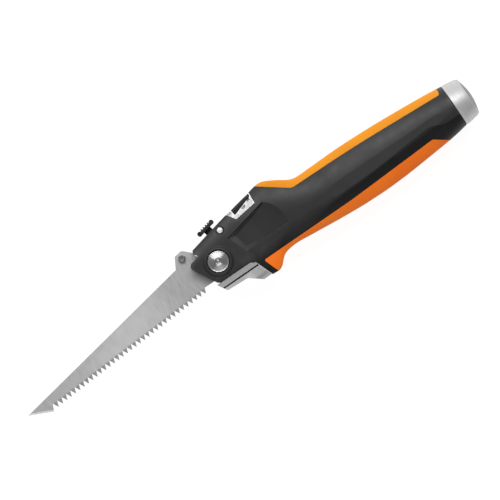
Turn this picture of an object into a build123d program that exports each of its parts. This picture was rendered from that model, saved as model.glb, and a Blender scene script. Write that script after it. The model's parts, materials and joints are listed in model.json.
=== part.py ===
from build123d import *
import math
import os

os.makedirs("parts", exist_ok=True)

# Folding drywall saw. Millimetres.
# Working axes: pivot screw at the origin, +X towards the butt, +Y towards the back, +Z out of the left side.
# Everything is moved at the end so that the origin is under the middle of the tool, lying on its right side.

# ---------------------------------------------------------------- driving dimensions
PIVOT_X = -20.5
PIVOT_Y = -0.05
LAND = 16.4                 # half the thickness of the handle at its flat side lands
FAR = 90.0                  # reach of a cutting prism that runs clear of everything

WALL = 4.2                  # handle wall
GRIP_DEPTH = 2.2            # how deep the soft grips lie in the wall
SLOT_HALF = 2.2             # half the width of the saw slot in the belly
FRAME_IN = 4.5              # inner face of a frame plate
FRAME_OUT = 7.0             # outer face of a frame plate
SHELL_FRONT = -20.0
SHELL_END = 197.4
AXIS_Y = -3.4               # centre line of the butt

BLADE_HALF = 0.7

BACK_DEG = 12.5             # slope of the back edge, along which the slide runs
PIN_S, PIN_N = 16.65, 14.13  # cross pin, along and square to the back edge
SLIDE_TRAVEL = 6.0
BAR_HALF = 1.5
BAR_LOW, BAR_HIGH = 11.7, 16.4
BAR_NOSE, BAR_TAIL = 8.4, 26.0

LEVER_HINGE = (41.6, 26.0)
LEVER_HALF = 9.6
LEVER_PIN = 0.7
LEVER_BOSS_ROOM = 2.9       # radius cleared round the hinge


# ---------------------------------------------------------------- helpers
def smooth(points, x):
    """Monotone curve through (x, y) points, straight beyond the first and last one's height."""
    if x <= points[0][0]:
        return points[0][1]
    if x >= points[-1][0]:
        return points[-1][1]
    rise = [(b[1] - a[1]) / (b[0] - a[0]) for a, b in zip(points, points[1:])]
    slope = [rise[0]]
    for before, after in zip(rise, rise[1:]):
        slope.append(0.0 if before * after <= 0 else 2 * before * after / (before + after))
    slope.append(rise[-1])
    i = max(k for k in range(len(points) - 1) if points[k][0] <= x)
    (x0, y0), (x1, y1) = points[i], points[i + 1]
    h = x1 - x0
    t = (x - x0) / h
    start = y0 * (1 + 2 * t) + slope[i] * h * t
    end = y1 * (3 - 2 * t) - slope[i + 1] * h * (1 - t)
    return start * (1 - t) ** 2 + end * t ** 2


def outline(corners):
    """Closed face through (x, y, corner radius) points."""
    line = FilletPolyline(*[(x, y) for x, y, r in corners], radius=[r for x, y, r in corners], close=True)
    return make_face(line)


def prism(corners, low, high):
    """Solid with the given side outline, from z = low to z = high."""
    return Pos(0, 0, low) * extrude(outline(corners), amount=high - low)


def sharp(points):
    """Corners without a radius."""
    return [(x, y, 0) for x, y in points]


def rod(x, y, radius, low, high):
    """Round bar across the tool."""
    return Pos(x, y, low) * Cylinder(radius, high - low, align=(Align.CENTER, Align.CENTER, Align.MIN))


def cone(radius_low, radius_high, low, high):
    """Round taper about the pivot."""
    return Pos(0, 0, low) * Cone(radius_low, radius_high, high - low, align=(Align.CENTER, Align.CENTER, Align.MIN))


def along(s, n):
    """Point s along the back edge's direction and n square to it."""
    c, d = math.cos(math.radians(BACK_DEG)), math.sin(math.radians(BACK_DEG))
    return (s * c - n * d, s * d + n * c)


PIN_PLACE = along(PIN_S, PIN_N)


def along_corners(corners):
    return [(*along(s, n), r) for s, n, r in corners]


def other_side(shape):
    """Mirror image on the right side."""
    return mirror(shape, about=Plane.XY)


def box(x0, x1, y0, y1, z0, z1):
    return Pos(x0, y0, z0) * Box(x1 - x0, y1 - y0, z1 - z0, align=(Align.MIN, Align.MIN, Align.MIN))


# ---------------------------------------------------------------- outer form of the handle
TOP_LINE = [(-20, 14.47), (22, 23.78), (38, 26.9), (46, 28.2), (52, 29.4), (56, 29.0), (60, 27.3), (65, 24.5),
            (70, 21.3), (75, 18.5), (80, 17.9), (110, 18.4), (140, 17.5), (160, 16.2), (186, 14.1), (197.4, 12.75)]
BELLY_LINE = [(-20, -28.8), (26, -28.9), (31, -29.2), (34.5, -28.5), (38, -25.0), (42, -22.0), (46, -20.9),
              (52, -20.4), (65, -21.5), (88, -23.7), (110, -25.2), (125, -25.5), (140, -25.1), (160, -23.7),
              (186, -21.4), (197.4, -19.55)]
HALF_WIDTH = [(20, 11.0), (38, 12.0), (52, 13.8), (70, 15.3), (98, LAND + 0.1), (180, LAND + 0.1), (197.4, 16.15)]
BACK_FLAT = [(20, 7.6), (46, 7.0), (60, 5.5), (160, 5.0), (186, 3.0), (197.4, 0.4)]
BELLY_FLAT = [(34, 8.6), (60, 7.0), (160, 7.0), (186, 3.5), (197.4, 0.4)]
SIDE_TOP = [(-20, 6.0), (20, 10.0), (38, 8.0), (60, 2.0), (98, -3.6), (160, -4.0), (186, -3.5), (197.4, -3.0)]
SIDE_BOTTOM = [(22, -24.0), (32, -20.0), (42, -12.0), (60, -7.0), (98, -8.0), (160, -7.4), (186, -6.0), (197.4, -3.8)]
STATION_PITCH = 4.0         # spacing of the sections that shape the handle
PANEL_X = 20.0
PANEL_FLOOR = 9.7           # height of the sunk panel's floor at PANEL_X
PANEL_RISE = 0.055          # slope of its border, that of the head
PANEL_CURVE = 148.0         # radius in which its floor curves up
ROUND = 0.5523              # control length that makes a Bezier quarter round
LOWER_ROUND = [(60, ROUND), (98, 0.3), (172, 0.3), (192, ROUND)]    # the same where the side turns to the belly


def half_section(x, inset):
    """Left half of the handle's section at x, all of it moved in by inset."""
    top = smooth(TOP_LINE, x) - inset
    belly = smooth(BELLY_LINE, x) + inset
    wide = smooth(HALF_WIDTH, x) - inset
    back_flat = smooth(BACK_FLAT, x) * (1 - inset / 12)
    belly_flat = smooth(BELLY_FLAT, x) * (1 - inset / 12)
    side_top = smooth(SIDE_TOP, x)
    side_bottom = smooth(SIDE_BOTTOM, x)
    lower_round = smooth(LOWER_ROUND, x)

    def at(y, z):
        return Vector(x, y, z)

    low, low_side = at(belly, belly_flat), at(side_bottom, wide)
    high_side, high = at(side_top, wide), at(top, back_flat)
    low_turn = Edge.make_bezier(low, at(belly, belly_flat + ROUND * (wide - belly_flat)),
                                at(side_bottom + lower_round * (belly - side_bottom), wide), low_side)
    high_turn = Edge.make_bezier(high_side, at(side_top + ROUND * (top - side_top), wide),
                                 at(top, back_flat + ROUND * (wide - back_flat)), high)
    return Wire([Edge.make_line(at(belly, 0), low), low_turn, Edge.make_line(low_side, high_side), high_turn,
                 Edge.make_line(high, at(top, 0)), Edge.make_line(at(top, 0), at(belly, 0))])


def form(inset, start=SHELL_FRONT, end=SHELL_END):
    """Left half of the handle's outer form, moved in by inset."""
    count = round((end - start) / STATION_PITCH)
    return Solid.make_loft([half_section(start + (end - start) * i / count, inset) for i in range(count + 1)])


# ---------------------------------------------------------------- side outlines
BODY = [(-9.7, 11.2, 0.7), (-11.9, 14.2, 0.9), (-10.6, 16.62, 1.2), (22, 23.9, 0), (22, FAR, 0), (300, FAR, 0),
        (300, -FAR, 0), (49.2, -FAR, 0), (22.4, -18.0, 0), (21.2, -15.2, 1.0), (18.4, -12.8, 1.5),
        (-8.4, -12.8, 2.2), (-20.4, 9.05, 3.4), (-10.0, 10.3, 0.3)]
PLATE = [(-8.3, 11.9, 0.4), (-9.9, 13.9, 0.8), (-9.3, 15.5, 1.0), (25.8, 22.9, 0.8), (27.2, 15.9, 1.0),
         (46, 17.0, 2.0), (70, 13.5, 4.0), (73, 0, 4.0), (66, -12, 4.0), (24, -14.5, 0), (22, -15.0, 0),
         (-7.3, -15.0, 0), (-7.3, -11.6, 0), (-17.7, 7.6, 2.6), (-8.6, 8.9, 0.4)]
BOLSTER = [(-10.1, -13.1, 0.4), (-5.9, -20.3, 1.0), (10.5, -21.2, 3.0), (19.6, -28.5, 1.6), (26.2, -28.7, 0.5),
           (22.3, -18.2, 0), (21.0, -15.3, 1.0), (18.4, -13.1, 1.5)]
WINDOW = [(21.9, FAR, 0), (21.9, 24.8, 0), (26.9, 16.9, 1.2), (44.5, 19.3, 0.8), (44.9, FAR, 0)]
WINDOW_PAD = [(22.1, FAR, 0), (22.1, 24.85, 0), (27.0, 17.1, 1.1), (44.3, 19.45, 0.7), (44.7, FAR, 0)]
LEVER = [(27.1, 25.6, 0.5), (27.9, 20.1, 0.7), (43.9, 25.3, 1.0), (43.9, 28.2, 1.0)]
LEVER_ROOM = [(27.6, 19.7, 0.5), (27.05, 22.0, 0), (26.6, 24.6, 0), (26.55, FAR, 0), (44.35, FAR, 0), (44.35, 24.9, 0)]
BACK_GRIP = [(50.3, 29.2, 0), (60, 21.8, 0), (71.4, 13.3, 7), (120, 12.7, 1100), (193, 8.5, 1.5), (193.8, 10.6, 0),
             (193.6, FAR, 0), (50.3, FAR, 0)]


def belly_grip_zone():
    corners = [(26.9, -17.3, 1.0), (100, -17.3, 0), (120, -16.6, 0), (171.5, -14.6, 0), (184.0, -23.4, 0),
               (184, -FAR, 0), (53.0, -FAR, 0)]
    return prism(corners, SLOT_HALF, FAR)


# ---------------------------------------------------------------- fasteners and their places
SCREW_PLACES = [(58, 11), (98, 9.5), (138, 8), (178, 3)]
SPACER_PLACES = [(48.5, 12.5), (67, 9.5)]
BOSS_RADIUS = 3.6
SCREW_HEAD_FLOOR = 10.5
SCREW_SHANK = 1.4
BUMPER_PIN = (15.9, 9.7)
BUMPER_SHANK = 1.2
RIVET = 1.3
BARREL = 4.0                # outer radius of the pivot barrel
PIVOT_SHANK = 2.5
HEAD = 7.6                  # radius of the pivot screw's head
HEAD_FLOOR = 11.0
PIN_SHANK = 1.1
PIN_HEAD = 2.0
PLUG_FLANGE = (187.0, 190.0)
PLUG_RADIUS = 11.0
PLUG_STEM = 8.0
CAP_END = 212.0
CAP_DOME = 38.0             # radius of the cap's domed face
CAP_SCREW = 2.5
KEEPER = (150.0, 160.0)
KEEPER_BAR = (-2.4, 0.4)    # lowest and highest side of the keeper's cross bar
RIB_HALF = 0.9
RIB_LOW = 3.2               # ribs' distance from the saw's plane
PLATE_RIB_LOW = 8.0         # the same beside the frame plate
PLATE_RIBS = [49, 58, 67]
DEEP_RIBS = [76, 85, 94, 103, 112, 121, 130, 139, 170.9, 178.9]
RUNNING = 0.05
STUD = (-20.0, 16.2)
STUD_RADIUS = 2.6
STUD_SHANK = 1.5
STUD_HALF = 4.2
TANG = 10.5                 # radius of the tang's round end
LOBE = 13.86                # radius of the lobe that the lock bar traps
SLIDE_SCREWS = [9.4, 12.4]


def across(x0, x1, radius):
    """Round bar along the butt's centre line, from x0 to x1."""
    frame = Plane(origin=(x0, AXIS_Y, 0), z_dir=(1, 0, 0))
    return frame * Cylinder(radius, x1 - x0, align=(Align.CENTER, Align.CENTER, Align.MIN))


def upright(s, n0, n1, radius):
    """Round bar square to the back edge, at s along it."""
    tilt = math.radians(BACK_DEG)
    frame = Plane(origin=(*along(s, n0), 0), z_dir=(-math.sin(tilt), math.cos(tilt), 0))
    return frame * Cylinder(radius, n1 - n0, align=(Align.CENTER, Align.CENTER, Align.MIN))


def slide_prism(corners, half):
    """Solid with an outline in the slide's own directions, half thick each way."""
    return prism(along_corners(corners), -half, half)


# ---------------------------------------------------------------- handle shells and grips
def ribs():
    """Cross ribs inside the left shell, clear of the folded saw and of the frame plate, and the keeper's seat."""
    plate_ribs = [box(x - RIB_HALF, x + RIB_HALF, -FAR, FAR, PLATE_RIB_LOW, FAR) for x in PLATE_RIBS]
    deep_ribs = [box(x - RIB_HALF, x + RIB_HALF, -FAR, FAR, RIB_LOW, FAR) for x in DEEP_RIBS]
    seat = box(KEEPER[0] - 2.5, KEEPER[1] + 2.5, -FAR, FAR, RIB_LOW, FAR)
    seat -= box(KEEPER[0] - RUNNING, KEEPER[1] + RUNNING, KEEPER_BAR[0] - RUNNING, KEEPER_BAR[1] + RUNNING, 0, 12.2)
    return Compound([*plate_ribs, *deep_ribs, seat])


def sunk_panel():
    """Panel sunk behind the pivot: sloping borders, and a floor that curves up to meet the palm swell."""
    edge = [(15.6, 9.0), (20.3, -5.0), (38.5, -5.0), (62, -5.0), (62, 18.7), (49, 15.8)]
    floor = [(20.0, 8.2), (22.6, -2.6), (38.5, -4.4), (62, -4.4), (62, 17.2), (44, 14.3)]

    def tilted(corners, low):
        return Polyline(*[(x, y, low + PANEL_RISE * (x - PANEL_X)) for x, y in corners], close=True)

    border = Solid.make_loft([tilted(floor, PANEL_FLOOR).wire(), tilted(edge, 11.1).wire(), tilted(edge, 16).wire()],
                             ruled=True)
    swell = Pos(PANEL_X, 0, PANEL_FLOOR + PANEL_CURVE) * Rot(90, 0, 0) * Cylinder(PANEL_CURVE, 2 * FAR)
    return border & swell


def half_shell(outer, inner, grips):
    """Left shell without its screw holes."""
    body = outer & prism(BODY, 0, FAR)
    body -= sunk_panel()
    body += cone(11.4, 9.2, 10.6, 12.5)
    body -= inner - ribs()
    body -= box(-30, 22.3, -FAR, FAR, -1, FRAME_IN)
    body -= box(20, 28, 12, FAR, -1, FRAME_IN)
    body -= prism(PLATE, FRAME_IN - RUNNING, FRAME_OUT + RUNNING)
    for x, y in SCREW_PLACES:
        body += rod(x, y, BOSS_RADIUS, RUNNING, 12.4)
    for grip in grips:
        body -= grip
    body -= prism(BOLSTER, 0, FAR)
    body -= prism(WINDOW, -1, FAR)
    body -= box(20, 174, -FAR, -12, -1, SLOT_HALF)
    body -= rod(0, 0, BARREL, 0, FAR)
    body -= rod(0, 0, HEAD + 0.6, HEAD_FLOOR, FAR)
    body -= rod(*PIN_PLACE, PIN_HEAD, 0, FAR)
    body -= rod(*PIN_PLACE, PIN_HEAD + 0.9, 9.3, FAR)
    body -= prism(sharp([along(16.4, 5.2), along(51.2, 5.2), along(51.2, 6.1), along(16.4, 6.1)]), 10.2, FAR)
    body -= across(*PLUG_FLANGE, PLUG_RADIUS)
    body -= across(180, SHELL_END + 1, PLUG_STEM)
    return body


# ---------------------------------------------------------------- frame
def frame_plate(outer_skin):
    """Left frame half: plate between shell and saw, with the bolster and the window pad standing out of it."""
    bolster = outer_skin & prism(BOLSTER, FRAME_IN, FAR)
    pad = outer_skin & prism(WINDOW_PAD, FRAME_IN, FAR)
    pad -= prism(LEVER_ROOM, 0, FAR)
    pad -= rod(*LEVER_HINGE, LEVER_BOSS_ROOM, 0, FAR)
    pad -= rod(35.7, 22.3, 1.9, 7.6, FAR)
    plate = prism(PLATE, FRAME_IN, FRAME_OUT)
    plate -= prism(LEVER_ROOM, 0, FAR)
    plate -= rod(*LEVER_HINGE, LEVER_BOSS_ROOM, 0, FAR)
    lug = rod(*LEVER_HINGE, 1.35, FRAME_IN, FRAME_OUT)
    lug += box(40.4, 42.8, 21, LEVER_HINGE[1], FRAME_IN, FRAME_OUT)
    plate = plate + bolster + pad + lug
    plate -= box(-12, 21.9, -18.1, -17.2, 7.2, FAR)
    plate -= box(-12, 21.9, -17.3, -13.0, 10.0, FAR)
    plate -= rod(*LEVER_HINGE, LEVER_PIN + RUNNING, 0, FAR)
    plate -= rod(0, 0, BARREL, 0, FAR)
    plate -= rod(*PIN_PLACE, PIN_HEAD, 0, FAR)
    plate -= rod(*BUMPER_PIN, BUMPER_SHANK, 0, FAR)
    plate -= rod(*SCREW_PLACES[0], BOSS_RADIUS + RUNNING, 0, FAR)
    plate -= rod(34, 1, 6.0, 0, FAR)
    plate -= rod(54, -2, 6.0, 0, FAR)
    for x, y in SPACER_PLACES:
        plate -= rod(x, y, RIVET, 0, FAR)
    return plate


def head_spacer():
    """Block between the frame plates: stop for the open saw, channel for the slide, floor for the lever."""
    corners = [(-10.4, 12.3, 0.3), (-11.2, 13.9, 0.6), (-10.2, 16.2, 0.8), (21.8, 23.35, 0), (26.3, 24.3, 0),
               (44.4, 25.6, 0), (44.4, 23.6, 0), (46.5, 23.6, 0), (46.5, 16.8, 0), (24, 13.6, 0),
               (*along(10.5, 9.9), 0), (*along(10.5, 14.3), 0)]
    block = prism(corners, -FRAME_IN, FRAME_IN)
    block -= prism(LEVER_ROOM, -FAR, FAR)
    block -= rod(*LEVER_HINGE, LEVER_BOSS_ROOM, -FAR, FAR)
    block -= slide_prism(sharp([(2.0, BAR_LOW - 0.1), (27, BAR_LOW - 0.1), (27, BAR_HIGH + 0.1),
                                (2.0, BAR_HIGH + 0.1)]), BAR_HALF + 0.1)
    block -= slide_prism(sharp([(1.75, 14), (14.1, 14), (14.1, 22), (1.75, 22)]), 1.95)
    block -= slide_prism(sharp([(18.5, 16), (26.5, 16), (26.5, 17.35), (18.5, 17.35)]), BAR_HALF)
    block -= rod(*PIN_PLACE, PIN_SHANK, -FAR, FAR)
    block -= prism(sharp([(31.0, 18.9), (39.2, 21.6), (39.2, 26), (31.0, 26)]), -2.0, 2.0)
    return block


def blade_bumper():
    """Rubber stop just above the heel of the folded blade."""
    corners = [(13.0, 8.25, 0.5), (18.8, 6.97, 0.5), (19.2, 11.0, 0.8), (13.0, 11.0, 0.8)]
    return prism(corners, -FRAME_IN, FRAME_IN) - rod(*BUMPER_PIN, BUMPER_SHANK, -FAR, FAR)


def tube(x, y, outer, inner, low, high):
    return rod(x, y, outer, low, high) - rod(x, y, inner, low, high)


def frame_rivet(x, y):
    heads = rod(x, y, 2.2, FRAME_OUT, 7.7) + rod(x, y, 2.2, -7.7, -FRAME_OUT)
    return rod(x, y, RIVET, -FRAME_OUT, FRAME_OUT) + heads


# ---------------------------------------------------------------- pivot
def domed_head(radius, low, rim, crown):
    """Round head with a low dome, its edge rim high and its middle crown high."""
    rise = crown - rim
    ball = (radius ** 2 + rise ** 2) / (2 * rise)
    dome = Pos(0, 0, low + crown - ball) * Sphere(ball)
    return rod(0, 0, radius, low, low + crown) & dome


def hex_socket(across_flats, low, high):
    hexagon = RegularPolygon(across_flats / math.sqrt(3), 6)
    return Pos(0, 0, low) * extrude(hexagon, amount=high - low)


def pivot_screw():
    screw = domed_head(HEAD, HEAD_FLOOR, 0.9, 2.3) + rod(0, 0, PIVOT_SHANK, -8.5, HEAD_FLOOR + 0.2)
    return screw - hex_socket(3.6, 11.4, FAR)


def pivot_nut():
    nut = other_side(domed_head(HEAD, HEAD_FLOOR, 0.9, 2.3)) + rod(0, 0, BARREL, -HEAD_FLOOR - 0.2, HEAD_FLOOR - 0.3)
    return nut - rod(0, 0, PIVOT_SHANK, -9.0, FAR) - other_side(hex_socket(3.6, 11.8, FAR))


def pivot_washer():
    """Spacer beside the tang, on the left."""
    return tube(0, 0, 8.0, BARREL, BLADE_HALF + RUNNING, FRAME_IN)


# ---------------------------------------------------------------- slide and lock bar
def slide_pad():
    """Thumb pad: bar with two swollen ends, cross ribs and a stem down to the lock bar."""
    pad = slide_prism([(4.6, 20.9, 0), (17.0, 20.9, 0), (17.0, 23.5, 0), (4.6, 23.5, 0)], 6)
    for s, n in [(5.1, 22.5), (16.6, 22.5)]:
        pad += rod(*along(s, n), 1.8, -6, 6)
    for s in (8.0, 10.1, 12.2, 14.3):
        pad += slide_prism([(s - 0.6, 22.5, 0), (s + 0.6, 22.5, 0), (s + 0.4, 24.5, 0.3), (s - 0.4, 24.5, 0.3)], 5.4)
    tilt = math.radians(BACK_DEG)
    plan = Plane(origin=(*along(10.85, 15), 0), x_dir=(math.cos(tilt), math.sin(tilt), 0),
                 z_dir=(-math.sin(tilt), math.cos(tilt), 0))
    pad &= plan * extrude(RectangleRounded(15.1, 12, 3), amount=15)
    pad += slide_prism(sharp([(7.9, BAR_HIGH), (13.9, BAR_HIGH), (13.9, 21.8), (7.9, 21.8)]), 1.8)
    for s in SLIDE_SCREWS:
        pad -= upright(s, BAR_HIGH - 1, 19.5, 0.7)
    return pad


def lock_bar():
    """Steel bar whose nose slides over the tang's lobe."""
    bar = slide_prism([(BAR_NOSE, BAR_LOW, 0.3), (BAR_TAIL, BAR_LOW, 0.5), (BAR_TAIL, BAR_HIGH, 0.5),
                       (BAR_NOSE, BAR_HIGH, 1.0)], BAR_HALF)
    high = PIN_SHANK + 0.03
    front = PIN_S - PIN_SHANK - 0.1
    back = PIN_S + SLIDE_TRAVEL + PIN_SHANK + 0.1
    bar -= slide_prism([(front, PIN_N - high, 1.1), (back, PIN_N - high, 1.1), (back, PIN_N + high, 1.1),
                        (front, PIN_N + high, 1.1)], FAR)
    for s in SLIDE_SCREWS:
        bar -= upright(s, BAR_LOW - 1, FAR, 0.7)
        bar -= upright(s, BAR_LOW - 1, BAR_LOW + 1.2, 1.2)
    return bar


def slide_screw(s):
    return upright(s, BAR_LOW, BAR_LOW + 1.2, 1.2) + upright(s, BAR_LOW + 1.2, 19.5, 0.7)


def slide_spring():
    """Bowed leaf over the lock bar."""
    return slide_prism(sharp([(18.6, 17.05), (22.5, 16.5), (26.4, 17.05), (26.4, 17.3), (22.5, 16.75),
                              (18.6, 17.3)]), 1.3)


# ---------------------------------------------------------------- latch lever
def latch_lever(skin):
    """Wedge lever in the back's window, with a ledge along its lower edge and slots for the frame's lugs."""
    lever = prism(LEVER, -LEVER_HALF, LEVER_HALF) & skin
    for side in (1, -1):
        low, high = sorted((side * 8.7, side * FAR))
        lever -= prism(sharp([(26, 22.4), (45, 26.5), (45, 18), (26, 18)]), low, high)
        low, high = sorted((side * (FRAME_IN - 0.2), side * (FRAME_OUT + 0.2)))
        lever -= box(38.6, 46, 18, 32, low, high)
    return lever - rod(*LEVER_HINGE, LEVER_PIN, -8.4, 8.4)


def latch_spring():
    """Bowed leaf under the lever."""
    corners = [(31.3, 19.85), (35.1, 21.85), (38.9, 22.35), (38.9, 22.1), (35.1, 21.6), (31.3, 19.6)]
    return prism(sharp(corners), -1.7, 1.7)


# ---------------------------------------------------------------- saw
TIP = (-171.0, -13.6)
SPINE_END = (-28.0, 12.0)
NOSE = (-154.2, -21.5)      # lower corner of the piercing nose
TEETH = 35
FIRST_TOOTH = (-19.8, -13.5)
LAST_TOOTH = (-149.6, -20.8)
FIRST_GULLET = (-18.3, -9.7)
LAST_GULLET = (-151.9, -16.4)
TOOTH_FRONT = 1.5           # from a tooth's point to the gullet on the handle's side


def gullet(x):
    """Point on the line of the gullets."""
    part = (x - FIRST_GULLET[0]) / (LAST_GULLET[0] - FIRST_GULLET[0])
    return (x, FIRST_GULLET[1] + part * (LAST_GULLET[1] - FIRST_GULLET[1]))


def tooth_line():
    points = []
    for i in range(TEETH):
        part = i / (TEETH - 1)
        x = FIRST_TOOTH[0] + part * (LAST_TOOTH[0] - FIRST_TOOTH[0])
        y = FIRST_TOOTH[1] + part * (LAST_TOOTH[1] - FIRST_TOOTH[1])
        points += [gullet(x + TOOTH_FRONT), (x, y)]
    return points + [LAST_GULLET]


def saw_blade():
    """Toothed blade with its ear, round tang and the lobe that the lock bar traps."""
    ear = [(-23.4, 20.1, 1.0), (-17.2, 20.9, 2.5), (-11.7, 15.5, 0.8), (-11.05, 12.3, 0)]
    heel = sharp([(-8, 9), (0, 5), (0, -8), (-3.2, -10)])
    corners = [(*TIP, 0), (*SPINE_END, 0)] + ear + heel + sharp(tooth_line()) + [(*NOSE, 0)]
    face = outline(corners) + Circle(TANG)
    lobe = [(0, 0), (-12, 9), (-11.05, 12.3), along(-6, 20), along(2.0, 20), along(2.0, BAR_LOW - 0.2),
            along(8.4, BAR_LOW - 0.2)]
    face += Circle(LOBE) & make_face(Polyline(*lobe, close=True))
    blade = Pos(0, 0, -BLADE_HALF) * extrude(face, amount=2 * BLADE_HALF)
    return blade - rod(0, 0, BARREL + RUNNING, -FAR, FAR) - rod(*STUD, STUD_SHANK, -FAR, FAR)


def thumb_stud():
    """Left half of the stud, with the shank that goes through the ear."""
    knob = Pos(*STUD, BLADE_HALF) * chamfer(
        Cylinder(STUD_RADIUS, STUD_HALF - BLADE_HALF, align=(Align.CENTER, Align.CENTER, Align.MIN)).edges()
        .filter_by(GeomType.CIRCLE).sort_by(Axis.Z)[-1], 0.5)
    return knob + rod(*STUD, STUD_SHANK, -BLADE_HALF, BLADE_HALF) + rod(*STUD, 0.9, -3.0, -BLADE_HALF)


def stud_cap():
    """Right half of the stud."""
    knob = chamfer(
        Cylinder(STUD_RADIUS, STUD_HALF - BLADE_HALF, align=(Align.CENTER, Align.CENTER, Align.MAX)).edges()
        .filter_by(GeomType.CIRCLE).sort_by(Axis.Z)[0], 0.5)
    return Pos(*STUD, -BLADE_HALF) * knob - rod(*STUD, 0.9, -3.2, 0)


# ---------------------------------------------------------------- butt
def strike_cap():
    """Turned cap with a tapered side, a fine groove and a domed striking face."""
    profile = [(CAP_END, 0), (209.2, 0), (209.2, CAP_SCREW), (205.1, CAP_SCREW), (205.1, PLUG_STEM),
               (197.5, PLUG_STEM), (197.5, 15.7), (197.9, 16.1), (201.0, 16.05), (208.3, 14.75), (208.6, 14.3),
               (209.0, 14.2), (CAP_END, 13.5)]
    turned = revolve(make_face(Polyline(*profile, close=True)), Axis.X, 360)
    dome = Pos(CAP_END - CAP_DOME, 0, 0) * Rot(0, 90, 0) * Sphere(CAP_DOME)
    return Pos(0, AXIS_Y, 0) * (turned & dome)


def butt_plug():
    plug = across(*PLUG_FLANGE, PLUG_RADIUS) + across(184.6, 205.0, PLUG_STEM)
    return plug - across(180, 210, CAP_SCREW) - across(180, 188.6, 4.3)


def cap_screw():
    screw = across(185.0, 188.6, 4.2) + across(188.6, 209.0, CAP_SCREW)
    socket = Plane(origin=(184, AXIS_Y, 0), z_dir=(1, 0, 0)) * extrude(RegularPolygon(2.3, 6), amount=3.2)
    return screw - socket


def blade_keeper():
    """Soft fork in the slot that grips the folded blade near its point."""
    fork = box(*KEEPER, -20, KEEPER_BAR[0], -2.15, 2.15) - box(*KEEPER, -FAR, -4, -0.95, 0.95)
    return fork + box(*KEEPER, *KEEPER_BAR, -12.1, 12.1)


# ---------------------------------------------------------------- fastening
def shell_screw(x, y):
    """Screw driven from the right side into the left shell's boss."""
    head = rod(x, y, 2.7, -SCREW_HEAD_FLOOR - 1.9, -SCREW_HEAD_FLOOR)
    socket = Pos(x, y, -SCREW_HEAD_FLOOR - 2) * extrude(RegularPolygon(1.5, 6), amount=1.4)
    return head - socket + rod(x, y, SCREW_SHANK, -SCREW_HEAD_FLOOR, 8.0)


# ---------------------------------------------------------------- assembly
outer_form = form(0) & box(SHELL_FRONT - 1, SHELL_END + 1, -FAR, FAR, -1, LAND)
grip_form = form(GRIP_DEPTH, 22, SHELL_END)
cavity = form(WALL, 20, 184)
frame_skin = form(0.5)
lever_skin = form(0.3, 20, 60)
amber_half = (outer_form - grip_form) & prism(BACK_GRIP, -FAR, FAR)
left_belly_grip = (outer_form - grip_form) & belly_grip_zone()
shell = half_shell(outer_form, cavity, [amber_half, left_belly_grip])
left_shell = shell
right_shell = other_side(shell)
for x, y in SCREW_PLACES:
    left_shell -= rod(x, y, SCREW_SHANK, 0, 9.0)
    right_shell -= rod(x, y, SCREW_SHANK + 0.2, -FAR, 0)
    right_shell -= rod(x, y, 2.9, -FAR, -SCREW_HEAD_FLOOR)
left_frame_plate = frame_plate(frame_skin)

sub_parts = {
    "left_shell": left_shell,
    "right_shell": right_shell,
    "back_grip": amber_half + other_side(amber_half),
    "left_belly_grip": left_belly_grip,
    "right_belly_grip": other_side(left_belly_grip),
    "left_frame_plate": left_frame_plate,
    "right_frame_plate": other_side(left_frame_plate),
    "head_spacer": head_spacer(),
    "blade_bumper": blade_bumper(),
    "bumper_pin": rod(*BUMPER_PIN, BUMPER_SHANK, -FRAME_OUT, FRAME_OUT),
    "frame_spacers": Compound([tube(x, y, 2.6, RIVET, -FRAME_IN, FRAME_IN) for x, y in SPACER_PLACES]),
    "frame_rivets": Compound([frame_rivet(x, y) for x, y in SPACER_PLACES]),
    "pivot_screw": pivot_screw(),
    "pivot_nut": pivot_nut(),
    "left_pivot_washer": pivot_washer(),
    "right_pivot_washer": other_side(pivot_washer()),
    "cross_pin": Pos(*PIN_PLACE) * domed_head(PIN_HEAD, FRAME_IN, 5.5, 6.1) + rod(*PIN_PLACE, PIN_SHANK, -7.5, 5),
    "cross_pin_nut": tube(*PIN_PLACE, PIN_HEAD, PIN_SHANK, -10.6, -FRAME_IN),
    "slide_spring": slide_spring(),
    "latch_spring": latch_spring(),
    "shell_screws": Compound([shell_screw(x, y) for x, y in SCREW_PLACES]),
    "strike_cap": strike_cap(),
    "butt_plug": butt_plug(),
    "cap_screw": cap_screw(),
    "blade_keeper": blade_keeper(),
    "slide_pad": slide_pad(),
    "lock_bar": lock_bar(),
    "slide_screws": Compound([slide_screw(s) for s in SLIDE_SCREWS]),
    "latch_lever": latch_lever(lever_skin + other_side(lever_skin)),
    "latch_pin": rod(*LEVER_HINGE, LEVER_PIN, -8.4, 8.4),
    "saw_blade": saw_blade(),
    "thumb_stud": thumb_stud(),
    "stud_cap": stud_cap(),
}

for name, solid in sub_parts.items():
    export_step(Pos(PIVOT_X, PIVOT_Y, LAND) * solid, f"parts/{name}.step")
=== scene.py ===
import json
import math

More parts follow.
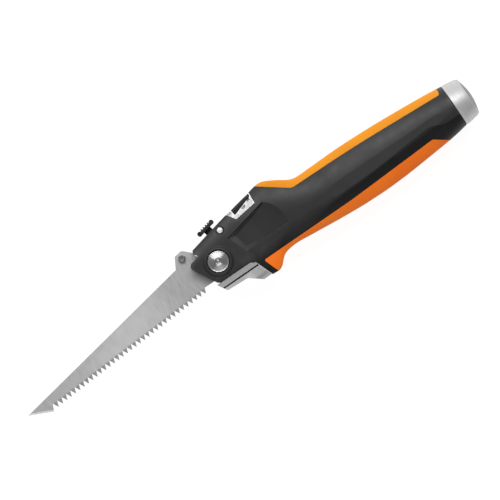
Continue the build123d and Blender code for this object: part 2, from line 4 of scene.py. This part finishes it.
import bmesh
import bpy
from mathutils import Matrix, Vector


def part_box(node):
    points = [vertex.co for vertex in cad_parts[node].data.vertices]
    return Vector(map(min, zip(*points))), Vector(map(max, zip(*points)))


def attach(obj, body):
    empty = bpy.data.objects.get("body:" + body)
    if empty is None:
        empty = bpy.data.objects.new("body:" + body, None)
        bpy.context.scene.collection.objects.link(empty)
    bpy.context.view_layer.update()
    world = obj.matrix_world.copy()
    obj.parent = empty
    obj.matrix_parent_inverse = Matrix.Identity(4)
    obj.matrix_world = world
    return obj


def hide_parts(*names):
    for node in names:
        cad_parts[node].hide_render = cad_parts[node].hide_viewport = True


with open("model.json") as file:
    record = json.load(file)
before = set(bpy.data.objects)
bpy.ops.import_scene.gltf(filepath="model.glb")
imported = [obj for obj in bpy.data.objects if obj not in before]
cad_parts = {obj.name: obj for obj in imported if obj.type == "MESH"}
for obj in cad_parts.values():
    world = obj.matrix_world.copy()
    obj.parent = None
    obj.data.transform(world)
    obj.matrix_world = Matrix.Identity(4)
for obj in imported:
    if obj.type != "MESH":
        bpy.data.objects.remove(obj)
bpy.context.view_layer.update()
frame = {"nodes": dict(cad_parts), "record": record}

NODES = frame["nodes"]
MM = 0.001

# The pivot's centre in plan, from the pivot screw's box, and the height of the blade's middle plane.
screw_low, screw_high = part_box("pivot_screw")
PIVOT = Vector(((screw_low.x + screw_high.x) / 2, (screw_low.y + screw_high.y) / 2, 0))
blade_low, blade_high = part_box("saw_blade")
MID_Z = (blade_low.z + blade_high.z) / 2


def tool(x, y, z=0.0):
    """A place in the tool's own millimetres: from the pivot, towards the butt, the back and the left side."""
    return Vector((PIVOT.x + x * MM, PIVOT.y + y * MM, MID_Z + z * MM))


# Places on the blade, in the tool's millimetres.
FIRST_GULLET = (-18.3, -9.7)
LAST_GULLET = (-151.9, -16.4)
NOSE_LOW = (-154.2, -21.5)
NOSE_TIP = (-171, -13.6)


# ---------------------------------------------------------------- materials
def new_material(name):
    mat = bpy.data.materials.new(name)
    mat.use_nodes = True
    tree = mat.node_tree
    tree.nodes.clear()
    out = tree.nodes.new("ShaderNodeOutputMaterial")
    shader = tree.nodes.new("ShaderNodeBsdfPrincipled")
    tree.links.new(shader.outputs["BSDF"], out.inputs["Surface"])
    return mat, tree, shader


def node(tree, kind, inputs=None, **settings):
    made = tree.nodes.new(kind)
    for key, value in settings.items():
        setattr(made, key, value)
    for key, value in (inputs or {}).items():
        if isinstance(value, bpy.types.NodeSocket):
            tree.links.new(value, made.inputs[key])
        else:
            made.inputs[key].default_value = value
    return made


def place(tree, scale=(1, 1, 1), turn=0.0):
    """Object coordinates, turned about Z and stretched."""
    coord = node(tree, "ShaderNodeTexCoord")
    mapping = node(tree, "ShaderNodeMapping", {"Vector": coord.outputs["Object"], "Scale": scale,
                                               "Rotation": (0, 0, turn)})
    return mapping.outputs["Vector"]


def noise(tree, vector, scale, detail=4.0, rough=0.55):
    made = node(tree, "ShaderNodeTexNoise", {"Vector": vector, "Scale": scale, "Detail": detail,
                                             "Roughness": rough})
    return made.outputs["Fac"]


def ramp(tree, fac, stops):
    """Colour ramp through (position, colour) stops; a colour is a grey number or an RGB triple."""
    made = node(tree, "ShaderNodeValToRGB", {"Fac": fac})
    band = made.color_ramp
    while len(band.elements) < len(stops):
        band.elements.new(0.5)
    for element, (where, colour) in zip(band.elements, stops):
        element.position = where
        rgb = (colour,) * 3 if isinstance(colour, (int, float)) else colour
        element.color = (*rgb, 1)
    return made.outputs["Color"]


def remap(tree, value, low, high, to_low, to_high):
    made = node(tree, "ShaderNodeMapRange", {"Value": value, "From Min": low, "From Max": high,
                                             "To Min": to_low, "To Max": to_high})
    return made.outputs["Result"]


def mix(tree, fac, a, b, blend="MIX"):
    """Mixes colour a to b; fac and colours may be sockets."""
    made = tree.nodes.new("ShaderNodeMix")
    made.data_type = "RGBA"
    made.blend_type = blend
    for socket, value in ((made.inputs[0], fac), (made.inputs[6], a), (made.inputs[7], b)):
        if isinstance(value, bpy.types.NodeSocket):
            tree.links.new(value, socket)
        elif isinstance(value, (int, float)):
            socket.default_value = value
        else:
            socket.default_value = (*value, 1)
    return made.outputs[2]


def shaded(tree, shader, colour, roughness, height=None, bump=0.1, depth=0.0002, edge=0.0003):
    """Joins colour, roughness and bump to the shader; edge softens sharp corners in shading."""
    tree.links.new(colour, shader.inputs["Base Color"])
    tree.links.new(roughness, shader.inputs["Roughness"])
    normal = None
    if edge:
        normal = node(tree, "ShaderNodeBevel", {"Radius": edge}, samples=4).outputs["Normal"]
    if height is not None:
        made = node(tree, "ShaderNodeBump", {"Height": height, "Strength": bump, "Distance": depth})
        if normal:
            tree.links.new(normal, made.inputs["Normal"])
        normal = made.outputs["Normal"]
    if normal:
        tree.links.new(normal, shader.inputs["Normal"])


def worn_edges(tree, low=0.53, high=0.62):
    """White on convex edges, from the mesh's own pointiness."""
    geometry = node(tree, "ShaderNodeNewGeometry")
    return remap(tree, geometry.outputs["Pointiness"], low, high, 0.0, 1.0)


def plastic(name, dark, light, roughness, grain=1400.0, bump=0.12, specular=0.5, edge=0.0003):
    """Moulded plastic: fine spark-eroded grain, faint flow clouds and slightly polished high spots."""
    mat, tree, shader = new_material(name)
    where = place(tree)
    clouds = noise(tree, where, 38, 3)
    fine = noise(tree, where, grain, 3, 0.6)
    colour = mix(tree, remap(tree, clouds, 0.3, 0.7, 0, 1), dark, light)
    rub = worn_edges(tree)
    colour = mix(tree, rub, colour, tuple(min(1, c * 1.6 + 0.01) for c in light))
    rough = remap(tree, noise(tree, where, 90, 5), 0.3, 0.7, roughness - 0.06, roughness + 0.06)
    shaded(tree, shader, colour, rough, fine, bump, 0.00012, edge)
    shader.inputs["Specular IOR Level"].default_value = specular
    return mat


def metal(name, dark, light, roughness, stretch=(1, 1, 1), turn=0.0, grain=500.0, bump=0.05, metallic=1.0,
          edge=0.0002):
    """Brushed or satin metal: streaks along one direction, soft clouds, small scratches and bright edges."""
    mat, tree, shader = new_material(name)
    streak_place = place(tree, stretch, turn)
    streaks = noise(tree, streak_place, grain, 4, 0.6)
    clouds = noise(tree, place(tree), 30, 3)
    colour = mix(tree, remap(tree, clouds, 0.3, 0.7, 0, 1), dark, light)
    colour = mix(tree, remap(tree, streaks, 0.35, 0.65, 0, 0.35), colour, tuple(c * 0.82 for c in dark))
    colour = mix(tree, worn_edges(tree), colour, tuple(min(1, c * 1.15 + 0.03) for c in light))
    rough = remap(tree, streaks, 0.3, 0.7, roughness - 0.07, roughness + 0.07)
    shaded(tree, shader, colour, rough, streaks, bump, 0.00005, edge)
    shader.inputs["Metallic"].default_value = metallic
    return mat


def shader_of(mat):
    return next(n for n in mat.node_tree.nodes if n.bl_idname == "ShaderNodeBsdfPrincipled")


def math_node(tree, operation, a, b, clamp=False):
    made = node(tree, "ShaderNodeMath", {0: a, 1: b}, operation=operation, use_clamp=clamp)
    return made.outputs["Value"]


def shell_nylon(name, dark, light, roughness):
    """Shell plastic with painted shade: a darker, duller band beside the belly grip, where the shell turns
    down and away from the light; crisp at the butt, soft in front.
    """
    shade_start, shade_end = 60, 190
    shade_low, shade_high = -20, 0
    # Top of the painted shade, as parts of the way from its low to its high line, at parts of the way from
    # its start to its end along the tool.
    shade_top = [(0.0, 0.50), (0.45, 0.54), (0.87, 0.72), (0.90, 0.68), (0.95, 0.52), (1.0, 0.50)]
    # Specular level outside and inside the painted shade.
    plain_sheen, shaded_sheen = 0.5, 0.28

    mat = plastic(name, dark, light, roughness, edge=0.0008)
    tree = mat.node_tree
    shader = shader_of(mat)
    plain = shader.inputs["Base Color"].links[0].from_socket
    where = node(tree, "ShaderNodeSeparateXYZ", {"Vector": place(tree)})
    along = remap(tree, where.outputs["X"], tool(shade_start, 0).x, tool(shade_end, 0).x, 0, 1)
    height = remap(tree, where.outputs["Y"], tool(0, shade_low).y, tool(0, shade_high).y, 0, 1)
    under = math_node(tree, "SUBTRACT", ramp(tree, along, shade_top), height)
    crispness = remap(tree, where.outputs["X"], tool(70, 0).x, tool(150, 0).x, 3.0, 20.0)
    shade_amount = math_node(tree, "MULTIPLY", under, crispness, clamp=True)
    # Painted shade: the colour darkens and the specular level drops under the shade's top line.
    tree.links.new(mix(tree, shade_amount, plain, tuple(c * 0.45 for c in dark)), shader.inputs["Base Color"])
    sheen = remap(tree, shade_amount, 0, 1, plain_sheen, shaded_sheen)
    tree.links.new(sheen, shader.inputs["Specular IOR Level"])
    return mat


def bolster_metal(name, dark, light, roughness):
    """Satin frame metal with painted shade: darker on the recessed strip, near black in its groove, and
    darker towards the top of the window pad.
    """
    strip_low, strip_high = -19, -12
    # How much painted shade darkens the metal, from under the groove to above the recessed strip.
    strip_shade = [(0.10, 0), (0.14, 0.97), (0.255, 0.97), (0.29, 0.32), (0.82, 0.32), (0.87, 0)]

    mat = metal(name, dark, light, roughness, grain=900, bump=0.06)
    tree = mat.node_tree
    shader = shader_of(mat)
    satin = shader.inputs["Base Color"].links[0].from_socket
    across = node(tree, "ShaderNodeSeparateXYZ", {"Vector": place(tree)}).outputs["Y"]
    up = remap(tree, across, tool(0, strip_low).y, tool(0, strip_high).y, 0, 1)
    # Painted shade: near black in the groove and darker on the recessed strip, a little patchy.
    groove_and_strip_shade = ramp(tree, up, strip_shade)
    patchy = remap(tree, noise(tree, place(tree), 220, 4), 0.2, 0.6, 0.85, 1.0)
    shade_amount = mix(tree, patchy, (0, 0, 0), groove_and_strip_shade)
    # Painted shade: darker towards the top of the window pad.
    window_shade = remap(tree, across, tool(0, 10).y, tool(0, 14).y, 0, 0.22)
    colour = mix(tree, window_shade, mix(tree, shade_amount, satin, (0.02, 0.02, 0.02)), (0.03, 0.03, 0.03))
    tree.links.new(colour, shader.inputs["Base Color"])
    return mat


def rubber(name, dark, light, roughness, speckle, grain, bump, flecks):
    """Soft overmould: stippled skin with fine dark flecks."""
    mat, tree, shader = new_material(name)
    where = place(tree)
    cells = node(tree, "ShaderNodeTexVoronoi", {"Vector": where, "Scale": speckle})
    stipple = remap(tree, cells.outputs["Distance"], 0.0, 0.55, 1.0, 0.0)
    fine = noise(tree, where, grain, 4, 0.65)
    clouds = noise(tree, where, 30, 3)
    colour = mix(tree, remap(tree, clouds, 0.3, 0.7, 0, 1), dark, light)
    fleck = remap(tree, noise(tree, where, grain * 0.8, 2), 0.56, 0.72, 0.0, flecks)
    colour = mix(tree, fleck, colour, tuple(c * 0.45 for c in dark))
    height = mix(tree, 0.5, stipple, fine)
    rough = remap(tree, fine, 0.3, 0.7, roughness - 0.08, roughness + 0.08)
    shaded(tree, shader, colour, rough, height, bump, 0.00018, 0.0003)
    shader.inputs["Specular IOR Level"].default_value = 0.25
    return mat


def lathe_turned(name, dark, light, roughness):
    """Turned steel: fine rings about the piece's own axis, which stretch highlights across them."""
    mat, tree, shader = new_material(name)
    coord = node(tree, "ShaderNodeTexCoord")
    centred = node(tree, "ShaderNodeVectorMath", {0: coord.outputs["Object"], 1: tuple(PIVOT)},
                   operation="SUBTRACT")
    flat = node(tree, "ShaderNodeVectorMath", {0: centred.outputs[0], 1: (1, 1, 0)}, operation="MULTIPLY")
    radius = node(tree, "ShaderNodeVectorMath", {0: flat.outputs[0]}, operation="LENGTH")
    ring_place = node(tree, "ShaderNodeCombineXYZ", {"X": radius.outputs["Value"]})
    rings = noise(tree, ring_place.outputs[0], 2600, 3, 0.7)
    clouds = noise(tree, place(tree), 120, 3)
    colour = mix(tree, remap(tree, clouds, 0.3, 0.7, 0, 1), dark, light)
    colour = mix(tree, remap(tree, rings, 0.35, 0.65, 0, 0.3), colour, tuple(c * 0.7 for c in dark))
    rough = remap(tree, rings, 0.3, 0.7, roughness - 0.05, roughness + 0.05)
    shaded(tree, shader, colour, rough, rings, 0.05, 0.00005, 0.0002)
    shader.inputs["Metallic"].default_value = 1.0
    shader.inputs["Anisotropic"].default_value = 0.9
    shader.inputs["Anisotropic Rotation"].default_value = 0.25
    tangent = node(tree, "ShaderNodeTangent", direction_type="RADIAL", axis="Z")
    tree.links.new(tangent.outputs[0], shader.inputs["Tangent"])
    return mat


def satin_blade(name, roughness):
    """Satin strip steel: painted reflection in broad pale and dark bands along its length, and fine cross
    brushing.
    """
    mat, tree, shader = new_material(name)
    coord = node(tree, "ShaderNodeTexCoord")
    parts = node(tree, "ShaderNodeSeparateXYZ", {"Vector": coord.outputs["Object"]})
    along_blade = remap(tree, parts.outputs["X"], tool(*NOSE_TIP).x, tool(0, 0).x, 0, 1)
    drift = remap(tree, noise(tree, place(tree), 22, 2), 0.3, 0.7, -0.03, 0.03)
    where = math_node(tree, "ADD", along_blade, drift)
    # Painted reflection: brightest about the blade's middle, darker at the nose and darkest near the pivot.
    reflection_tones = [(0.0, 0.84), (0.25, 0.86), (0.5, 1.0), (0.62, 0.96), (0.78, 0.72), (1.0, 0.74)]
    reflection_bands = ramp(tree, where, reflection_tones)
    brushing = noise(tree, place(tree, (1, 0.04, 1), math.radians(-8)), 2400, 3, 0.6)
    colour = mix(tree, remap(tree, brushing, 0.35, 0.65, 0, 0.25), reflection_bands, (0.8, 0.8, 0.8), "MULTIPLY")
    colour = mix(tree, worn_edges(tree), colour, (0.8, 0.8, 0.8))
    rough = remap(tree, brushing, 0.3, 0.7, roughness - 0.06, roughness + 0.06)
    shaded(tree, shader, colour, rough, brushing, 0.04, 0.00004, 0)
    shader.inputs["Metallic"].default_value = 1.0
    return mat


MATERIALS = {
    "black_nylon": shell_nylon("black_nylon", (0.010, 0.010, 0.0105), (0.015, 0.015, 0.0155), 0.5),
    "dark_nylon": plastic("dark_nylon", (0.010, 0.010, 0.010), (0.014, 0.014, 0.014), 0.5),
    "pad_nylon": plastic("pad_nylon", (0.003, 0.003, 0.003), (0.005, 0.005, 0.005), 0.5),
    "black_rubber": rubber("black_rubber", (0.012, 0.012, 0.012), (0.02, 0.02, 0.02), 0.75,
                           1500, 2500, 0.2, 0.2),
    "amber_grip": rubber("amber_grip", (0.76, 0.26, 0.003), (0.84, 0.30, 0.005), 0.6, 1600, 2600, 0.06, 0.06),
    "orange_grip": rubber("orange_grip", (0.98, 0.175, 0.007), (1.0, 0.225, 0.012), 0.65,
                          1150, 2100, 0.3, 0.35),
    "frame_metal": bolster_metal("frame_metal", (0.50, 0.50, 0.50), (0.57, 0.57, 0.57), 0.5),
    "pin_steel": metal("pin_steel", (0.42, 0.42, 0.43), (0.55, 0.55, 0.56), 0.3),
    "bright_steel": lathe_turned("bright_steel", (0.60, 0.60, 0.60), (0.72, 0.72, 0.72), 0.3),
    "bronze": metal("bronze", (0.42, 0.27, 0.12), (0.55, 0.38, 0.18), 0.4),
    "polished_steel": metal("polished_steel", (0.93, 0.93, 0.93), (0.97, 0.97, 0.97), 0.4, bump=0.01,
                            metallic=0.3),
    "spring_steel": metal("spring_steel", (0.22, 0.23, 0.26), (0.32, 0.33, 0.37), 0.35),
    "dark_steel": metal("dark_steel", (0.035, 0.035, 0.037), (0.055, 0.055, 0.058), 0.4, metallic=0.8),
    "cap_metal": metal("cap_metal", (0.58, 0.58, 0.585), (0.65, 0.65, 0.655), 0.5, (1, 0.06, 0.06), 0,
                       2500, 0.03, metallic=0.6),
    "struck_face": metal("struck_face", (0.26, 0.26, 0.262), (0.34, 0.34, 0.343), 0.55, grain=1500, bump=0.2),
    "blade_steel": satin_blade("blade_steel", 0.38),
    "stud_steel": metal("stud_steel", (0.20, 0.20, 0.20), (0.26, 0.26, 0.26), 0.45, metallic=0.9),
}
SLOTS = {entry["node"]: entry["material_slot"] for entry in frame["record"]["subparts"]}


def paint(obj, slot_name):
    """Gives the piece the one material of the named slot."""
    obj.data.materials.clear()
    obj.data.materials.append(MATERIALS[slot_name])


for name, cad in NODES.items():
    if not cad.data.materials:
        cad.data.materials.append(None)
    for i in range(len(cad.data.materials)):
        cad.data.materials[i] = MATERIALS[SLOTS[name]]


# ---------------------------------------------------------------- pieces
def finished(name, bm, node_name, body, smooth_angle=32):
    """Turns a bmesh into a piece that stands for one CAD node and moves with its body."""
    bmesh.ops.recalc_face_normals(bm, faces=bm.faces)
    mesh = bpy.data.meshes.new(name)
    bm.to_mesh(mesh)
    bm.free()
    for polygon in mesh.polygons:
        polygon.use_smooth = True
    mesh.set_sharp_from_angle(angle=math.radians(smooth_angle))
    obj = bpy.data.objects.new(name, mesh)
    bpy.context.scene.collection.objects.link(obj)
    paint(obj, SLOTS[node_name])
    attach(obj, body)
    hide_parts(node_name)
    return obj


def joined_faces(node_name):
    """The CAD node's mesh with its vertices welded and its flat faces whole."""
    bm = bmesh.new()
    bm.from_mesh(NODES[node_name].data)
    bmesh.ops.remove_doubles(bm, verts=bm.verts, dist=1e-6)
    bmesh.ops.dissolve_limit(bm, angle_limit=math.radians(0.4), verts=bm.verts, edges=bm.edges)
    return bm


def rounded_copy(node_name, body, width, min_angle=35):
    """The CAD node's shape with its sharp outer edges rounded."""
    bm = joined_faces(node_name)
    least = math.radians(min_angle)
    sharp = [e for e in bm.edges if e.is_manifold and e.is_convex and e.calc_face_angle(0) > least]
    bmesh.ops.bevel(bm, geom=sharp, offset=width * MM, offset_type="OFFSET", segments=3, profile=0.5,
                    affect="EDGES", clamp_overlap=True)
    return finished(node_name + "_rounded", bm, node_name, body)


def hexagon(across_flats):
    """Radius of a hexagon at a turn about its middle."""
    sixth = math.radians(60)
    return lambda turn: across_flats / 2 / math.cos(turn % sixth - sixth / 2)


def turned(name, profile, axis, middle, node_name, body, segments=96):
    """Turned solid: profile is (place along the axis, radius) from pole to pole; a radius may be a function
    of the turn."""
    bm = bmesh.new()
    rings = []
    for along, radius in profile:
        count = 1 if radius == 0 else segments
        ring = []
        for i in range(count):
            turn = math.tau * i / segments
            r = radius(turn) if callable(radius) else radius
            across, up = r * math.cos(turn), r * math.sin(turn)
            if axis == "Z":
                ring.append(bm.verts.new(tool(middle[0] + across, middle[1] + up, along)))
            else:
                ring.append(bm.verts.new(tool(along, middle[0] + across, middle[1] + up)))
        rings.append(ring)
    for a, b in zip(rings, rings[1:]):
        for i in range(segments):
            k = (i + 1) % segments
            corners = [a[i % len(a)], a[k % len(a)], b[k % len(b)], b[i % len(b)]]
            unique = list(dict.fromkeys(corners))
            bm.faces.new(unique)
    return finished(name, bm, node_name, body)


PIVOT_FACE = [(11.0, 7.25), (11.12, 7.5), (11.4, 7.6), (11.75, 7.55), (11.98, 7.35), (12.05, 7.1),
              (11.95, 6.85), (11.85, 6.7), (12.05, 5.0), (12.3, 3.2), (12.42, 2.3), (12.36, 2.15),
              (12.2, 2.05)]
SOCKET = 3.6                # across the hex sockets' flats
CAP_BALL = 38.0             # radius of the cap's domed face
CAP_FACE_DEPTH = 2.6        # how far the struck face reaches from the butt's end


def make_pivot():
    """Screw from the left and barrel nut from the right: rimmed faces, shallow cones and hex sockets."""
    screw = [(-8.5, 0), (-8.5, 2.2), (-8.2, 2.5), (11.0, 2.5)] + PIVOT_FACE
    screw += [(12.15, hexagon(SOCKET)), (11.4, hexagon(SOCKET)), (11.4, 0)]
    turned("pivot_screw_turned", screw, "Z", (0, 0), "pivot_screw", "handle")
    nut = [(8.0, 2.5), (10.4, 2.55), (10.65, 2.8), (10.7, 3.8), (10.5, 4.0), (-11.0, 4.0)]
    nut = [(-9.0, 0), (-9.0, 2.5)] + nut + [(-z, r) for z, r in PIVOT_FACE]
    nut += [(-12.15, hexagon(SOCKET)), (-11.8, hexagon(SOCKET)), (-11.8, 0)]
    turned("pivot_nut_turned", nut, "Z", (0, 0), "pivot_nut", "handle")


def make_stud():
    """Thumb stud with a dished face, and the half that screws on behind the ear."""
    middle = ((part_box("thumb_stud")[0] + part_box("thumb_stud")[1]) / 2 - tool(0, 0)) / MM
    place_at = (middle.x, middle.y)
    face = [(0.7, 2.5), (0.8, 2.6), (3.7, 2.6), (4.1, 2.3), (4.2, 2.05), (4.17, 1.8), (4.1, 1.3), (4.1, 0)]
    turned("thumb_stud_turned", [(-3.0, 0), (-3.0, 0.9), (-0.7, 0.9), (-0.7, 1.5), (0.7, 1.5)] + face, "Z",
           place_at, "thumb_stud", "saw", 64)
    cap = [(-3.2, 0), (-3.2, 0.9), (-0.7, 0.9)] + [(-z, r) for z, r in face]
    turned("stud_cap_turned", cap, "Z", place_at, "stud_cap", "saw", 64)


def make_cap():
    """Struck cap on the butt: turned side with a small groove before its domed face."""
    low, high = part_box("strike_cap")
    axis_y = ((low + high) / 2 - tool(0, 0)).y / MM
    front, end = (low - tool(0, 0)).x / MM, (high - tool(0, 0)).x / MM
    dome = [(end - CAP_BALL + math.sqrt(CAP_BALL ** 2 - r ** 2), r) for r in (13.0, 12, 10, 8, 6, 4, 2, 0)]
    side = [(front, 15.55), (front + 0.1, 15.85), (front + 0.45, 16.08), (front + 3.6, 16.05), (208.0, 14.82),
            (208.25, 14.72), (208.4, 14.45), (208.75, 14.4), (208.95, 14.28), (209.5, 14.1), (209.75, 13.6)]
    hollow = [(209.2, 0), (209.2, 2.5), (205.1, 2.5), (205.1, 8.0), (front, 8.0)]
    cap = turned("strike_cap_turned", hollow + side + dome, "X", (axis_y, 0), "strike_cap", "handle", 128)
    cap.data.materials.append(MATERIALS["struck_face"])
    rim = tool(end - CAP_FACE_DEPTH, 0).x
    for polygon in cap.data.polygons:
        if polygon.center.x > rim:
            polygon.material_index = 1


def square_to(start, end, up):
    """Direction in plan square to the line from start to end, towards the back if up, else the belly."""
    direction = Vector((0, 0, 1)).cross((end - start).normalized())
    if (direction.y > 0) != up:
        direction.negate()
    return direction


def make_saw():
    """Stamped blade whose teeth and piercing nose are ground thin towards their edges."""
    grind_above_gullets = 0.15
    nose_grind = 1.3            # width of the bevel on the nose
    half_edge = 0.22            # half the thickness left at a ground edge

    bm = joined_faces("saw_blade")
    gullets, nose_low = tool(*FIRST_GULLET), tool(*NOSE_LOW)
    down = square_to(gullets, tool(*LAST_GULLET), up=False)
    inward = square_to(nose_low, tool(*NOSE_TIP), up=True)
    cuts = [(gullets + down * grind_above_gullets * MM, down), (nose_low + inward * nose_grind * MM, inward)]
    for point, direction in cuts:
        bmesh.ops.bisect_plane(bm, geom=bm.verts[:] + bm.edges[:] + bm.faces[:], dist=1e-7, plane_co=point,
                               plane_no=direction)
    for vert in bm.verts:
        below = (vert.co - gullets).dot(down) / MM
        ahead = (vert.co - nose_low).dot(inward) / MM
        on_nose = abs(ahead) < 0.05 and vert.co.x < tool(-150, 0).x
        is_tooth_point = below > 2.0 and vert.co.x > tool(-151.5, 0).x
        if on_nose or is_tooth_point:
            vert.co.z = MID_Z + math.copysign(half_edge * MM, vert.co.z - MID_Z)
    finished("saw_ground", bm, "saw_blade", "saw", 12)


make_pivot()
make_stud()
make_cap()
make_saw()
rounded_copy("slide_pad", "slide", 0.35)
rounded_copy("latch_lever", "latch", 0.3)


# ---------------------------------------------------------------- floor, light, camera
def make_floor():
    """Light table: a pale sheet that glows by itself."""
    mesh = bpy.data.meshes.new("floor")
    reach = 6.0
    mesh.from_pydata([(-reach, -reach, 0), (reach, -reach, 0), (reach, reach, 0), (-reach, reach, 0)], [],
                     [(0, 1, 2, 3)])
    floor = bpy.data.objects.new("floor", mesh)
    bpy.context.scene.collection.objects.link(floor)
    floor.location.z = -0.0002
    mat, tree, shader = new_material("pale_floor")
    where = place(tree)
    colour = ramp(tree, noise(tree, where, 3, 2), [(0.3, 0.18), (0.7, 0.2)])
    rough = remap(tree, noise(tree, where, 20, 3), 0.3, 0.7, 0.85, 0.95)
    tree.links.new(colour, shader.inputs["Base Color"])
    tree.links.new(rough, shader.inputs["Roughness"])
    shader.inputs["Emission Color"].default_value = (1, 1, 1, 1)
    shader.inputs["Emission Strength"].default_value = 0.92
    mesh.materials.append(mat)


def soft_light(name, place_at, aim, size, power):
    light = bpy.data.lights.new(name, "AREA")
    light.shape = "RECTANGLE"
    light.size, light.size_y = size
    light.energy = power
    obj = bpy.data.objects.new(name, light)
    bpy.context.scene.collection.objects.link(obj)
    obj.location = place_at
    obj.rotation_euler = (Vector(aim) - Vector(place_at)).to_track_quat("-Z", "Y").to_euler()


def make_camera():
    """Looks straight down, rolled so that the tool rises to the right."""
    data = bpy.data.cameras.new("camera")
    camera = bpy.data.objects.new("camera", data)
    bpy.context.scene.collection.objects.link(camera)
    roll = math.radians(34.5)
    field = 0.350
    height = 6.0
    data.sensor_width = 36
    data.lens = data.sensor_width * height / field
    middle = tool(22.8, -5.9)
    camera.location = (middle.x, middle.y, MID_Z + height)
    camera.rotation_euler = (0, 0, -roll)
    bpy.context.scene.camera = camera


def tilted(direction, distance, height):
    """A place beside the tool, direction in degrees from +X."""
    turn = math.radians(direction)
    return (distance * math.cos(turn), distance * math.sin(turn), height)


KEY_SIDE = 72               # degrees from the tool's axis, towards its back


def make_light():
    """A room that is pale on the back's side and darker overhead and on the belly's side; key and fill."""
    world = bpy.data.worlds.new("studio")
    bpy.context.scene.world = world
    world.use_nodes = True
    tree = world.node_tree
    coord = node(tree, "ShaderNodeTexCoord")
    parts = node(tree, "ShaderNodeSeparateXYZ", {"Vector": coord.outputs["Generated"]})
    bright_side = tilted(KEY_SIDE, 1, 0)
    facing = node(tree, "ShaderNodeVectorMath", {0: coord.outputs["Generated"], 1: bright_side},
                  operation="DOT_PRODUCT")
    height_fade = ramp(tree, parts.outputs["Z"], [(0.0, 0.85), (0.6, 0.72), (0.97, 0.28)])
    side_fade = remap(tree, facing.outputs["Value"], -0.6, 0.8, 0.22, 1.05)
    shade = mix(tree, 1.0, height_fade, side_fade, "MULTIPLY")
    tree.links.new(shade, tree.nodes["Background"].inputs["Color"])
    soft_light("key", tilted(KEY_SIDE, 0.8, 1.4), (0, 0, 0), (1.6, 0.4), 16)
    soft_light("fill", tilted(KEY_SIDE + 180, 1.3, 1.0), (0, 0, 0), (1.4, 1.0), 5)


make_floor()
make_light()
make_camera()
bpy.context.scene.view_settings.view_transform = "Standard"
